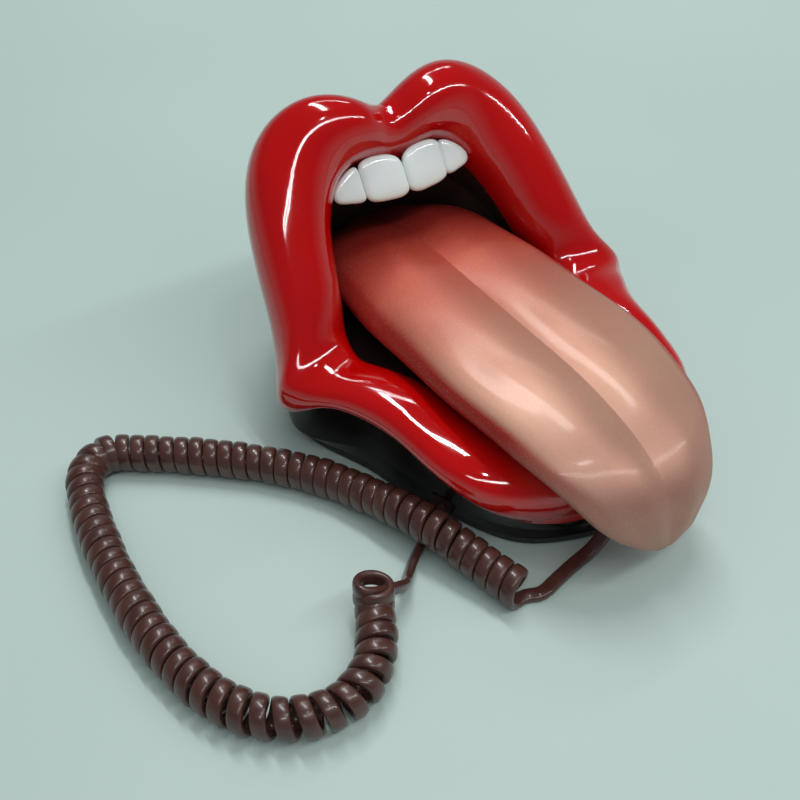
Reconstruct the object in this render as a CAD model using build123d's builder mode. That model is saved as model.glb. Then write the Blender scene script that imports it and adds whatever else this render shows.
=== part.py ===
"""Mouth-shaped desk telephone: a red lips shell on a black base, and a tongue that is the handset.

Millimetres. The origin is at the middle of the telephone's footprint, on the table.
+Y is to the back, +Z up, and the mouth is symmetric about X = 0.
"""
from build123d import *
from math import cos, radians, sin, tan
import os

os.makedirs("parts", exist_ok=True)

# ---------------------------------------------------------------- driving dimensions
LIP_WALL = 2.4  # thickness of the red shell
HOUSING_WALL = 2.4
TRAY_WALL = 2.0
TONGUE_WALL = 2.4
RETURN_DEPTH = 6.0  # how far the lip turns in behind the mouth's edge
SEAM_GAP = 0.15  # gap between mouldings that meet edge to edge
PLATE_BOTTOM = 1.0  # underside of the base plate, above the table
PLATE_TOP = 3.2
HOUSING_FOOT = PLATE_TOP + SEAM_GAP
TRAY_FLOOR = 22.5  # upper face of the tray's floor
FLOOR_THICKNESS = 2.0
TONGUE_BELLY = 34.5  # flat underside of the tongue
PANEL_FLOOR = 36.5  # floor of the keypad recess
PANEL_TOP = 38.0
CORD_RADIUS = 1.7  # straight ends of the handset cord
COIL_RADIUS = 6.5
SCREW_RADIUS = 1.4
SCREW_HEAD = (2.7, 1.1)  # radius and height
BOSS_RADIUS = 3.2
LIP_SCREW = (0, -60)
HOUSING_SCREWS = [(45.6, -14), (-45.6, -14), (55.2, 37), (-55.2, 37), (0, 91.5)]
TRAY_SCREWS = [(29, -4), (-29, -4), (26, 68), (-26, 68)]
BOARD_POSTS = [(20, 24), (-20, 24), (20, 56), (-20, 56)]
FEET = [(26, -44), (-26, -44), (37, 66), (-37, 66)]
FOOT_RADIUS = 6.0
FOOT_TOP = 2.15
BOARD_TOP = 9.6
HOOK = (0, 48)  # hook plunger in plan
HOOK_RADIUS = 3.0
HOOK_COLLAR = 15.0
HOOK_TOP = 34.1
RINGER = (0, -6)
JACK_X = -20.0  # line jack and ringer switch on the back wall
RINGER_SWITCH_X = 20.0
REAR_SOCKET_Z = 9.0
KEY_NAMES = [("1", "2", "3"), ("4", "5", "6"), ("7", "8", "9"), ("star", "0", "hash"), ("redial", "flash")]
KEY_FIRST_ROW = 27.0
KEY_ROW_PITCH = 11.5
KEY_PITCH = 13.5
KEY_CAP = (9.0, 6.4)
KEY_BOTTOM = 35.2
KEY_CLEARANCE = 0.3
EAR_Y = 60.0
MODE_SWITCH_Y = -32.0
HANDSET_SCREWS = [(24, 44), (-24, 44), (22, -41), (-22, -41)]
SLIDER_TRAVEL = 4.0
CENTRE_FRONT = -32.0  # walls face this stretch of the centre line
CENTRE_BACK = 58.0

# Stations of the lips, from the dip of the upper lip round to the middle of the lower lip:
# outer edge, inner edge, seam with the housing, lean of the lip's face from level, crown height
LIPS = [
    ((0, 76.5, 90.8), (0, 60, 81.8), (0, 77.8, 82.4), 50, 9),
    ((10, 78, 95.8), (8, 60.5, 82), (9.7, 80.8, 87.8), 50, 11.5),
    ((27, 79.5, 101), (17, 61, 81.5), (26, 84, 93), 50, 13),
    ((43.7, 78, 95.2), (25, 59.5, 77.5), (41.8, 82.5, 87), 50, 13),
    ((55.6, 69, 84.5), (30.5, 56, 70.5), (53.2, 74.2, 77), 50, 13),
    ((61.6, 57.5, 72), (35, 50, 63), (59.2, 63.3, 64.9), 48, 13),
    ((65, 44, 58.5), (38.3, 42, 54), (62.8, 50.2, 51.7), 46, 12),
    ((67.3, 31.5, 46), (41, 34, 44.5), (65.2, 39, 37.6), 42, 11),
    ((70.5, 24, 38), (43, 27.5, 38.5), (67.7, 32.2, 26.4), 34, 9.5),
    ((74.5, 17.5, 31.5), (44, 20, 35.5), (68.5, 22, 18), 22, 8),
    ((67, 5, 33), (42.3, 10.5, 34), (63, 6.5, 28), 10, 6),
    ((59.8, -7, 35.2), (37, 1, 33.6), (57, -6, 30.5), 2, 6),
    ((55.2, -24, 35.5), (32.3, -12, 33.6), (52.5, -22.5, 31), 2, 5.8),
    ((53, -36, 34), (29.3, -26, 33), (50, -35, 29), 4, 5.5),
    ((50.3, -46.5, 31.5), (26, -37.5, 32), (46.5, -45.5, 26), 10, 6),
    ((41, -60, 26), (19.5, -46, 30.5), (37.5, -58, 18), 22, 6.5),
    ((22, -68, 20), (10, -49.5, 30), (21.5, -65, 10.5), 34, 8.5),
    ((0, -70.2, 17.5), (0, -50.5, 30), (0, -68, 7.5), 36, 9.5),
]

# Black housing below each station: its knee, then its foot in plan
HOUSING = [
    ((0, 92.5, 48), (0, 96.7)),
    ((13, 92, 50), (13, 95.3)),
    ((28, 89.5, 52), (26, 91.5)),
    ((39, 84, 50), (35, 84.5)),
    ((47, 74, 44), (42, 73.5)),
    ((53, 62, 38), (49, 60.5)),
    ((58, 49, 32), (55, 48)),
    ((62, 38, 24), (59, 37)),
    ((66, 30.5, 12), (62, 29)),
    ((67, 22.5, 8), (61, 18.5)),
    ((60, 8, 9), (57, 8)),
    ((53.6, -5, 12), (52, -4.5)),
    ((49.5, -20, 12), (48.5, -19.5)),
    ((44.5, -34, 10), (42.5, -34)),
    ((39.3, -46, 9), (37.3, -46)),
    ((30.5, -58, 8), (29, -59)),
    ((16.5, -66.3, 6.5), (15.5, -67)),
    ((0, -69.8, 5.6), (0, -70.5)),
]

# Mouth tray behind the upper lip: its shoulder, then its foot in plan
TRAY = [
    ((0, 78, 64), (0, 88.3)),
    ((10, 78, 64), (12, 88)),
    ((21, 76.5, 63), (23, 84.5)),
    ((30, 72, 57), (31.5, 77)),
    ((37, 66, 50), (38, 68)),
    ((41.5, 58, 44), (41.5, 58)),
    ((43, 49, 38), (42.5, 49)),
    ((44, 40, 33), (42.8, 40)),
]

# Stations of the tongue from its root to its tip:
# half width, widest line's Y and Z, section's tilt from upright, rise above it, depth below it
TONGUE = [
    (9, (80.4, 41.5), 0, 2.8, 3),
    (18, (77.6, 42), 0, 4.2, 6),
    (28, (70.5, 42.5), 0, 6.1, 7.7),
    (34, (61, 43), 0, 7.8, 8.5),
    (37, (41, 43.5), 0, 9.5, 9),
    (39, (21, 44.5), 0, 9.1, 10),
    (39, (-4, 46), 0, 7.6, 11.5),
    (39, (-29, 47.5), 0, 5.9, 13),
    (37.3, (-46, 47), 9, 5.9, 12.2),
    (35.3, (-59, 44.9), 23, 6.4, 11),
    (32.3, (-71, 41.6), 37, 6.7, 9.6),
    (28, (-79.5, 36.3), 47, 8, 8.8),
    (22, (-88, 28.5), 52, 7.1, 9),
    (16, (-92, 23), 60, 4, 8),
    (9.5, (-95, 18.8), 62, 1.4, 6.5),
    (4, (-95.4, 16), 64, 0.7, 3.5),
]


def save(part, name):
    """Label a finished piece and write it."""
    part.label = name
    export_step(part, f"parts/{name}.step")


def inward(x, y):
    """Level direction from a wall to the stretch of centre line that it faces."""
    return (Vector(0, min(max(y, CENTRE_FRONT), CENTRE_BACK)) - Vector(x, y)).normalized()


def lip_plane(outer, inner, lean):
    """Section plane at a station: origin midway, X to the outer edge, Y out of the lip's face."""
    middle = (Vector(outer) + Vector(inner)) * 0.5
    across = (Vector(outer) - Vector(inner)).normalized()
    out = Vector(0, -sin(radians(lean)), cos(radians(lean)))
    out = (out - across * out.dot(across)).normalized()
    return Plane(origin=middle, x_dir=across, z_dir=across.cross(out))


def lip_ends(half, seam):
    """Outer and inner corner of the shell's seam edge, then of the edge inside the mouth."""
    back = (seam - Vector(half, 0)).normalized() * LIP_WALL
    seam_in = seam + Vector(back.Y, -back.X)
    return seam, seam_in, Vector(-half, -RETURN_DEPTH), Vector(LIP_WALL - half, -RETURN_DEPTH)


def lip_section(plane, half, crown, seam):
    """C-shaped section of the red shell."""
    seam, seam_in, end, end_in = lip_ends(half, seam)
    arch = [radians(angle) for angle in range(0, 181, 30)]
    skin = [(half * cos(a), crown * sin(a)) for a in arch]
    lining = [((half - LIP_WALL) * cos(a), (crown - LIP_WALL) * sin(a)) for a in reversed(arch)]
    with BuildSketch(plane) as section:
        with BuildLine():
            Spline(seam, *skin, end)
            Line(end, end_in)
            Spline(end_in, *lining, seam_in)
            Line(seam_in, seam)
        make_face()
    return section.sketch


def ring_loft(half_ring):
    """Closed loft through the outlines of the right half and their mirror images."""
    mirrored = [outline.mirror(Plane.YZ) for outline in half_ring[1:-1]]
    return Solid.make_loft(half_ring + mirrored[::-1] + half_ring[:1])


def plan_outline(points, height):
    """Closed smooth outline at a height through half an outline and its mirror image."""
    mirrored = [(-x, y) for x, y in points[1:-1]]
    with BuildSketch(Plane.XY.offset(height)) as outline:
        with BuildLine():
            Spline(*points, *reversed(mirrored), periodic=True)
        make_face()
    return outline.sketch


# ---------------------------------------------------------------- lips, housing and tray
lip_outlines = []
housing_outlines = []
tray_outlines = []
tray_feet = []
for index, (outer, inner, seam, lean, crown) in enumerate(LIPS):
    plane = lip_plane(outer, inner, lean)
    half = (Vector(outer) - Vector(inner)).length / 2
    seam = plane.to_local_coords(Vector(*seam))
    seam = Vector(seam.X, seam.Y)
    lip_outlines.append(lip_section(plane, half, crown, seam).faces()[0].outer_wire())
    seam, seam_in, end, end_in = [plane.from_local_coords(corner) for corner in lip_ends(half, seam)]

    knee, foot = HOUSING[index]
    knee = Vector(*knee)
    foot = Vector(*foot, HOUSING_FOOT)
    drop = (knee - seam).normalized() * SEAM_GAP
    step = inward(foot.X, foot.Y) * HOUSING_WALL
    corners = [seam + drop, knee, foot, foot + step, knee + step, seam_in + drop]
    housing_outlines.append(Wire.make_polygon(corners, close=True))

    back = plane.y_dir * -SEAM_GAP
    if index < len(TRAY):
        shoulder, foot = TRAY[index]
        shoulder = Vector(*shoulder)
        foot = Vector(*foot, TRAY_FLOOR - FLOOR_THICKNESS - 0.5)
    else:
        foot = end + inward(end.X, end.Y) * 1.6
        foot = Vector(foot.X, foot.Y, TRAY_FLOOR - FLOOR_THICKNESS - 0.5)
        shoulder = (end + foot) * 0.5
    away = inward(foot.X, foot.Y) * -TRAY_WALL
    lift = ((end_in - end).normalized() * TRAY_WALL + away) * 0.5
    corners = [end + back, shoulder, foot, foot + away, shoulder + lift, end_in + back]
    tray_outlines.append(Wire.make_polygon(corners, close=True))
    tray_feet.append((foot.X + away.X / 2, foot.Y + away.Y / 2))


def tongue_section(half, widest, tilt, rise, depth, inset):
    """Section of the tongue, with a shallow valley along the middle of its upper face."""
    half = half - inset
    rise = rise - inset
    depth = depth - inset
    side = [
        (0, rise),
        (0.35 * half, rise + min(1.4, 0.3 * rise)),
        (0.66 * half, 0.93 * rise),
        (0.88 * half, 0.6 * rise),
        (half, 0),
        (0.91 * half, -0.5 * depth),
        (0.7 * half, -0.87 * depth),
        (0.44 * half, -depth),
        (0, -depth),
    ]
    mirrored = [(-x, y) for x, y in side[1:-1]]
    up = Vector(0, -sin(radians(tilt)), cos(radians(tilt)))
    plane = Plane(origin=(0, *widest), x_dir=(1, 0, 0), z_dir=Vector(1, 0, 0).cross(up))
    with BuildSketch(plane) as section:
        with BuildLine():
            Spline(*side, *reversed(mirrored), periodic=True)
        make_face()
    return section.sketch


def above_parting():
    """Everything above and in front of the line where the tongue's two shells meet."""
    line = [(widest[0], widest[1] - 1.2) for half, widest, tilt, rise, depth in TONGUE[:-2]]
    with BuildPart(mode=Mode.PRIVATE) as region:
        with BuildSketch(Plane.YZ):
            with BuildLine():
                Line((110, 40), line[0])
                Spline(*line)
                Polyline(line[-1], (-92, 5), (-120, 5), (-120, 80), (110, 80), (110, 40))
            make_face()
        extrude(amount=60, both=True)
    return region.part


# ---------------------------------------------------------------- fasteners and small shapes
def block(low, high, mode=Mode.ADD):
    """Box between two opposite corners."""
    size = [b - a for a, b in zip(low, high)]
    centre = [(a + b) / 2 for a, b in zip(low, high)]
    with Locations(tuple(centre)):
        Box(*size, mode=mode)


def post(points, radius, low, high, mode=Mode.ADD):
    """Upright cylinders between two heights."""
    with Locations(*[(x, y, low) for x, y in points]):
        Cylinder(radius, high - low, align=(Align.CENTER, Align.CENTER, Align.MIN), mode=mode)


def screws(points, head_bottom, tip):
    """Screws driven upwards, one at each point."""
    radius, height = SCREW_HEAD
    post(points, radius, head_bottom, head_bottom + height)
    post(points, SCREW_RADIUS, head_bottom + height, tip)
    post(points, 1.0, head_bottom, head_bottom + 0.7, mode=Mode.SUBTRACT)


def key_places():
    """Name and plan position of every key; the first row is nearest the ear."""
    for row, names in enumerate(KEY_NAMES):
        for column, name in enumerate(names):
            x = ((len(names) - 1) / 2 - column) * KEY_PITCH
            yield name, x, KEY_FIRST_ROW - row * KEY_ROW_PITCH


# Socket of the handset cord in the base: X out through the wall
BASE_SOCKET = Plane(origin=(-43.4, -35.4, 7.1), x_dir=(-0.92, -0.39, 0), z_dir=(0, 0, 1))
# Socket of the handset cord under the tongue's tip: X out through the shell
TIP_SOCKET = Plane(origin=(0, -80.9, 23.2), x_dir=(0, 0.7, -0.714), z_dir=(0, 0.714, 0.7))
# Microphone behind the tongue's tip: Z out through the shell
MICROPHONE = Plane(origin=(0, -68.6, 33.0), x_dir=(1, 0, 0), z_dir=(0, 0.62, -0.785))


def socket_block(plane, low, high, mode=Mode.ADD):
    """Box between two opposite corners given in a socket's plane."""
    size = [b - a for a, b in zip(low, high)]
    centre = plane.from_local_coords(Vector(*[(a + b) / 2 for a, b in zip(low, high)]))
    with Locations(Plane(origin=centre, x_dir=plane.x_dir, z_dir=plane.z_dir)):
        Box(*size, mode=mode)


# ---------------------------------------------------------------- base
with BuildPart() as lips_shell:
    add(ring_loft(lip_outlines))
    post([LIP_SCREW], BOSS_RADIUS, HOUSING_FOOT, 30.4)
    post([LIP_SCREW], SCREW_RADIUS, HOUSING_FOOT, 14, mode=Mode.SUBTRACT)
save(lips_shell.part, "lips_shell")

with BuildPart() as rear_housing:
    add(ring_loft(housing_outlines))
    post(HOUSING_SCREWS, BOSS_RADIUS, HOUSING_FOOT, 18)
    post(HOUSING_SCREWS, SCREW_RADIUS, HOUSING_FOOT, 14, mode=Mode.SUBTRACT)
    block((JACK_X - 6, 86, REAR_SOCKET_Z - 4.5), (JACK_X + 6, 100, REAR_SOCKET_Z + 4.5), Mode.SUBTRACT)
    block((RINGER_SWITCH_X - 5, 86, REAR_SOCKET_Z - 1.9), (RINGER_SWITCH_X + 5, 100, REAR_SOCKET_Z + 1.9), Mode.SUBTRACT)
    socket_block(BASE_SOCKET, (-4.5, -4, -3.4), (3, 4, 3.4), Mode.SUBTRACT)
save(rear_housing.part, "rear_housing")

with BuildPart() as mouth_tray:
    add(ring_loft(tray_outlines))
    extrude(plan_outline(tray_feet, TRAY_FLOOR), amount=-FLOOR_THICKNESS)
    post(TRAY_SCREWS, BOSS_RADIUS, HOUSING_FOOT, TRAY_FLOOR - 0.5)
    post(TRAY_SCREWS, SCREW_RADIUS, HOUSING_FOOT, 14, mode=Mode.SUBTRACT)
    for side in (-1, 1):
        block((24.5 * side - 1, -18, TRAY_FLOOR - 0.5), (24.5 * side + 1, 28, TONGUE_BELLY - 0.3))
    post([HOOK], HOOK_RADIUS + 0.3, 18, 30, mode=Mode.SUBTRACT)
save(mouth_tray.part, "mouth_tray")

TOOTH_LEAN = Vector(0, 0.555, 0.832)  # up a tooth's front face
with BuildPart() as teeth_strip:
    middle = Vector(8.45, 51.6, 71.4)
    outer = Vector(17.15, 53.4, 71.5)
    front_edges = [(middle, Vector(1, 0.1, 0)), (outer, Vector(1, 0.22, 0.03))]
    outlines = [
        [(-8.3, -0.6), (-6.8, -2), (5.6, -2.1), (8.3, -0.6), (8.5, 10.9), (6.8, 12), (-4.6, 11.4), (-8.3, 9.6)],
        [(0.1, 0.2), (1.4, -0.8), (9.4, -0.4), (11, 0.9), (10.3, 2.4), (7.7, 6.1), (4, 9.3), (1.4, 10.6), (0.1, 9.9)],
    ]
    for (corner, along), outline in zip(front_edges, outlines):
        along = along.normalized()
        with BuildSketch(Plane(origin=corner, x_dir=along, z_dir=along.cross(TOOTH_LEAN))) as crown:
            with BuildLine():
                Polyline(*outline, close=True)
            make_face()
            fillet(crown.vertices(), 0.7)
        extrude(amount=-4.4)
    with BuildSketch(Plane(origin=(0, 51.5, 71.4), x_dir=(1, 0, 0), z_dir=(0, -0.832, 0.555))):
        with Locations((12.5, 3.2)):
            Rectangle(25, 4.4)
    extrude(amount=-4.4, taper=0)
    mirror(about=Plane.YZ)
save(teeth_strip.part, "teeth_strip")

plate_points = [foot for knee, foot in HOUSING]
with BuildPart() as base_plate:
    extrude(plan_outline(plate_points, PLATE_BOTTOM), amount=PLATE_TOP - PLATE_BOTTOM)
    post(BOARD_POSTS, 2.5, PLATE_TOP, BOARD_TOP - 1.6)
    all_screws = [LIP_SCREW, *HOUSING_SCREWS, *TRAY_SCREWS]
    post(all_screws, SCREW_HEAD[0] + 0.2, PLATE_BOTTOM, PLATE_BOTTOM + SCREW_HEAD[1], mode=Mode.SUBTRACT)
    post(all_screws, SCREW_RADIUS + 0.15, PLATE_BOTTOM, PLATE_TOP, mode=Mode.SUBTRACT)
    post(FEET, FOOT_RADIUS, PLATE_BOTTOM, FOOT_TOP, mode=Mode.SUBTRACT)
    with Locations((*RINGER, PLATE_BOTTOM)):
        with PolarLocations(5.5, 8):
            Hole(0.9)
save(base_plate.part, "base_plate")

with BuildPart() as rubber_feet:
    post(FEET, FOOT_RADIUS, 0, FOOT_TOP)
    chamfer(rubber_feet.edges().filter_by(GeomType.CIRCLE).group_by(Axis.Z)[0], 0.5)
save(rubber_feet.part, "rubber_feet")

with BuildPart() as base_screws:
    screws([LIP_SCREW, *HOUSING_SCREWS], PLATE_BOTTOM, 13)
save(base_screws.part, "base_screws")

with BuildPart() as tray_screws:
    screws(TRAY_SCREWS, PLATE_BOTTOM, 13)
save(tray_screws.part, "tray_screws")

with BuildPart() as ballast_plate:
    block((-20, -52, PLATE_TOP), (20, -20, PLATE_TOP + 5))
    chamfer(ballast_plate.edges().filter_by(Axis.Z), 3)
save(ballast_plate.part, "ballast_plate")

with BuildPart() as base_board:
    block((-24, 20, BOARD_TOP - 1.6), (24, 60, BOARD_TOP))
    for x, y, width, depth, height in ((-14, 30, 10, 8, 4), (6, 28, 14, 6, 2.5), (-15, 46, 7, 9, 6)):
        block((x - width / 2, y - depth / 2, BOARD_TOP), (x + width / 2, y + depth / 2, BOARD_TOP + height))
save(base_board.part, "base_board")

with BuildPart() as hook_switch:
    block((9, HOOK[1] - 3.5, BOARD_TOP), (19, HOOK[1] + 3.5, HOOK_COLLAR - 1))
    post([(14, HOOK[1])], 1.4, HOOK_COLLAR - 1, HOOK_COLLAR - 0.2)
save(hook_switch.part, "hook_switch")

with BuildPart() as hook_plunger:
    post([HOOK], 2.0, BOARD_TOP + 1, HOOK_COLLAR)
    post([HOOK], 5.0, HOOK_COLLAR, HOOK_COLLAR + 1.3)
    post([HOOK], HOOK_RADIUS, HOOK_COLLAR + 1.3, HOOK_TOP)
    block((2, HOOK[1] - 2.5, HOOK_COLLAR), (16, HOOK[1] + 2.5, HOOK_COLLAR + 1.3))
    fillet(hook_plunger.edges().group_by(Axis.Z)[-1], 1.5)
save(hook_plunger.part, "hook_plunger")

with BuildPart() as hook_spring:
    with BuildLine():
        coil = Helix(pitch=0.95, height=4.3, radius=3.4, center=(*HOOK, BOARD_TOP + 0.5))
    with BuildSketch(Plane(origin=coil @ 0, z_dir=coil % 0)):
        Circle(0.35)
    sweep()
save(hook_spring.part, "hook_spring")

with BuildPart() as ringer:
    post([RINGER], 11, PLATE_TOP, PLATE_TOP + 6)
    fillet(ringer.edges().group_by(Axis.Z)[-1], 1)
save(ringer.part, "ringer")

with BuildPart() as line_jack:
    block((JACK_X - 7, 73.5, PLATE_TOP), (JACK_X + 7, 87.6, 15))
    block((JACK_X - 5.8, 87, REAR_SOCKET_Z - 4.3), (JACK_X + 5.8, 91.5, REAR_SOCKET_Z + 4.3))
    block((JACK_X - 4.9, 78, REAR_SOCKET_Z - 3.4), (JACK_X + 4.9, 92, REAR_SOCKET_Z + 3.4), Mode.SUBTRACT)
save(line_jack.part, "line_jack")

with BuildPart() as ringer_switch_body:
    block((RINGER_SWITCH_X - 7, 78, PLATE_TOP), (RINGER_SWITCH_X + 7, 87.6, 13))
    block((RINGER_SWITCH_X - 4.8, 81, REAR_SOCKET_Z - 1.8), (RINGER_SWITCH_X + 4.8, 88, REAR_SOCKET_Z + 1.8), Mode.SUBTRACT)
save(ringer_switch_body.part, "ringer_switch_body")

with BuildPart() as ringer_switch:
    x = RINGER_SWITCH_X - SLIDER_TRAVEL / 2
    block((x - 2, 81.5, REAR_SOCKET_Z - 1.5), (x + 2, 94.8, REAR_SOCKET_Z + 1.5))
    fillet(ringer_switch.edges().group_by(Axis.Y)[-1], 0.5)
save(ringer_switch.part, "ringer_switch")

with BuildPart() as base_cord_jack:
    socket_block(BASE_SOCKET, (-14.4, -5.2, -3.8), (-3.8, 5.2, 4.4))
    socket_block(BASE_SOCKET, (-12.6, -3.9, -3.3), (-3, 3.9, 3.3), Mode.SUBTRACT)
save(base_cord_jack.part, "base_cord_jack")

# ---------------------------------------------------------------- handset
with BuildPart(mode=Mode.PRIVATE) as tongue_shell:
    loft([tongue_section(*station, 0) for station in TONGUE])
    loft([tongue_section(*station, TONGUE_WALL) for station in TONGUE[1:-2]], mode=Mode.SUBTRACT)

with BuildPart() as tongue_top:
    add(tongue_shell.part)
    add(above_parting(), mode=Mode.INTERSECT)
    post(HANDSET_SCREWS, BOSS_RADIUS, 40, 51)
    post(HANDSET_SCREWS, SCREW_RADIUS, 40, 47.5, mode=Mode.SUBTRACT)
save(tongue_top.part, "tongue_top")

with BuildPart() as tongue_bottom:
    add(tongue_shell.part)
    add(above_parting(), mode=Mode.SUBTRACT)
    block((-25, -30, 35.4), (25, 38, PANEL_TOP))
    post(HANDSET_SCREWS, BOSS_RADIUS + 0.6, 35.9, 39.9)
    block((-22, -27, TONGUE_BELLY - 1), (22, 35, PANEL_FLOOR), Mode.SUBTRACT)
    for name, x, y in key_places():
        half_x = KEY_CAP[0] / 2 + KEY_CLEARANCE
        half_y = KEY_CAP[1] / 2 + KEY_CLEARANCE
        block((x - half_x, y - half_y, PANEL_FLOOR - 1), (x + half_x, y + half_y, PANEL_TOP + 1), Mode.SUBTRACT)
    post(HANDSET_SCREWS, SCREW_HEAD[0] + 0.2, TONGUE_BELLY - 2, 37, mode=Mode.SUBTRACT)
    post(HANDSET_SCREWS, SCREW_RADIUS + 0.2, TONGUE_BELLY - 2, 41, mode=Mode.SUBTRACT)
    block((-4.9, MODE_SWITCH_Y - 1.8, 33), (4.9, MODE_SWITCH_Y + 1.8, 38.5), Mode.SUBTRACT)
    with Locations((0, EAR_Y, 38)):
        with PolarLocations(6, 8):
            Hole(1.1, depth=6)
        Hole(1.1, depth=6)
    with Locations(MICROPHONE):
        Cylinder(0.9, 12, mode=Mode.SUBTRACT)
    socket_block(TIP_SOCKET, (-4.5, -4, -3.4), (3, 4, 3.4), Mode.SUBTRACT)
save(tongue_bottom.part, "tongue_bottom")

for name, x, y in key_places():
    with BuildPart() as key:
        width, depth = KEY_CAP
        block((x - width / 2, y - depth / 2, KEY_BOTTOM), (x + width / 2, y + depth / 2, PANEL_TOP + 0.5))
        fillet(key.edges().filter_by(Axis.Z), 1.2)
        fillet(key.edges().group_by(Axis.Z)[0], 0.5)
        block((x - 5.4, y - 4.1, PANEL_TOP + 0.2), (x + 5.4, y + 4.1, PANEL_TOP + 0.9))
    save(key.part, f"key_{name}")

with BuildPart() as key_mat:
    block((-22, -27, PANEL_TOP + 2.4), (22, 35, PANEL_TOP + 3.2))
save(key_mat.part, "key_mat")

with BuildPart() as keypad_board:
    block((-23, -29, 41.6), (23, 37, 42.8))
    block((-8, -12, 42.8), (4, 4, 44.2))
save(keypad_board.part, "keypad_board")

with BuildPart() as receiver_gasket:
    post([(0, EAR_Y)], 12.5, 37.7, 38.4)
    post([(0, EAR_Y)], 9.5, 37, 39, mode=Mode.SUBTRACT)
save(receiver_gasket.part, "receiver_gasket")

with BuildPart() as receiver_capsule:
    post([(0, EAR_Y)], 12.5, 38.45, 43.6)
    fillet(receiver_capsule.edges().group_by(Axis.Z)[-1], 1)
save(receiver_capsule.part, "receiver_capsule")

with BuildPart() as microphone_boot:
    with Locations(Plane(origin=MICROPHONE.from_local_coords(Vector(0, 0, -5.8)), z_dir=MICROPHONE.z_dir)):
        Cylinder(5.5, 5)
        Cylinder(4.5, 6, mode=Mode.SUBTRACT)
save(microphone_boot.part, "microphone_boot")

with BuildPart() as microphone_capsule:
    with Locations(Plane(origin=MICROPHONE.from_local_coords(Vector(0, 0, -5.8)), z_dir=MICROPHONE.z_dir)):
        Cylinder(4.45, 4)
save(microphone_capsule.part, "microphone_capsule")

with BuildPart() as handset_weight:
    block((-14, -26, 45), (14, 26, 48))
    chamfer(handset_weight.edges().filter_by(Axis.Z), 3)
save(handset_weight.part, "handset_weight")

with BuildPart() as handset_screws:
    screws(HANDSET_SCREWS, 35.8, 46)
save(handset_screws.part, "handset_screws")

with BuildPart() as dial_switch_body:
    block((-7, MODE_SWITCH_Y - 3, PANEL_TOP), (7, MODE_SWITCH_Y + 3, 41.3))
    block((-4.8, MODE_SWITCH_Y - 1.7, PANEL_TOP - 1), (4.8, MODE_SWITCH_Y + 1.7, 39.6), Mode.SUBTRACT)
save(dial_switch_body.part, "dial_switch_body")

with BuildPart() as dial_mode_switch:
    x = -SLIDER_TRAVEL / 2
    block((x - 2, MODE_SWITCH_Y - 1.4, 33.9), (x + 2, MODE_SWITCH_Y + 1.4, 39.2))
save(dial_mode_switch.part, "dial_mode_switch")

with BuildPart() as handset_cord_jack:
    socket_block(TIP_SOCKET, (-11.6, -4.8, -4.2), (-3.2, 4.8, 4.2))
    socket_block(TIP_SOCKET, (-10.4, -3.9, -3.3), (-3, 3.9, 3.3), Mode.SUBTRACT)
save(handset_cord_jack.part, "handset_cord_jack")

# ---------------------------------------------------------------- cord
with BuildPart() as cord_plug_base:
    socket_block(BASE_SOCKET, (-12.2, -3.7, -3.1), (1, 3.7, 3.1))
save(cord_plug_base.part, "cord_plug_base")

with BuildPart() as cord_plug_handset:
    socket_block(TIP_SOCKET, (-10, -3.7, -3.1), (1, 3.7, 3.1))
save(cord_plug_handset.part, "cord_plug_handset")

CORD_LOW = CORD_RADIUS + 0.2
COIL_LOW = COIL_RADIUS + 0.1
COIL_OVER = 2 * CORD_RADIUS + COIL_RADIUS + 2.1  # where the coil lies over its own lead

COIL_ROUTE = [
    (-44, -79, COIL_LOW),
    (-48.5, -64, 8),
    (-53, -50.5, COIL_OVER),
    (-57.6, -35.5, COIL_OVER),
    (-62.5, -20, 8),
    (-70, -3, COIL_LOW),
    (-84, 14, COIL_LOW),
    (-103, 31, COIL_LOW),
    (-118.5, 42.5, COIL_LOW),
    (-128.5, 49.5, COIL_LOW),
    (-137.5, 45.5, COIL_LOW),
    (-142, 36, COIL_LOW),
    (-146, 15, COIL_LOW),
    (-148, -12, COIL_LOW),
    (-147, -42, COIL_LOW),
    (-141, -66, COIL_LOW),
    (-129, -81, COIL_LOW),
    (-112, -86, COIL_LOW),
    (-97, -79, COIL_LOW),
    (-88.5, -67, COIL_LOW),
    (-84, -57, COIL_LOW),
]
BASE_LEAD_ROUTE = [
    (-81, -57.5, 5),
    (-78.7, -52.5, 3.4),
    (-72, -52.2, CORD_LOW),
    (-64, -48.2, CORD_LOW),
    (-56, -42.6, CORD_LOW),
    tuple(BASE_SOCKET.from_local_coords(Vector(6.2, 0, -1.2))),
    tuple(BASE_SOCKET.from_local_coords(Vector(1, 0, -1.2))),
]
HANDSET_LEAD_ROUTE = [
    (-44, -78.7, 3.2),
    (-42.7, -83.1, 2.8),
    (-37.5, -83.8, CORD_LOW),
    (-29.5, -80, CORD_LOW),
    (-20.5, -77.4, CORD_LOW),
    (-13, -76.6, 3),
    (-8, -76.2, 7),
    (-4, -75.6, 12),
    tuple(TIP_SOCKET.from_local_coords(Vector(7.4, 0, 0))),
    tuple(TIP_SOCKET.from_local_coords(Vector(1.3, 0, 0))),
]


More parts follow.
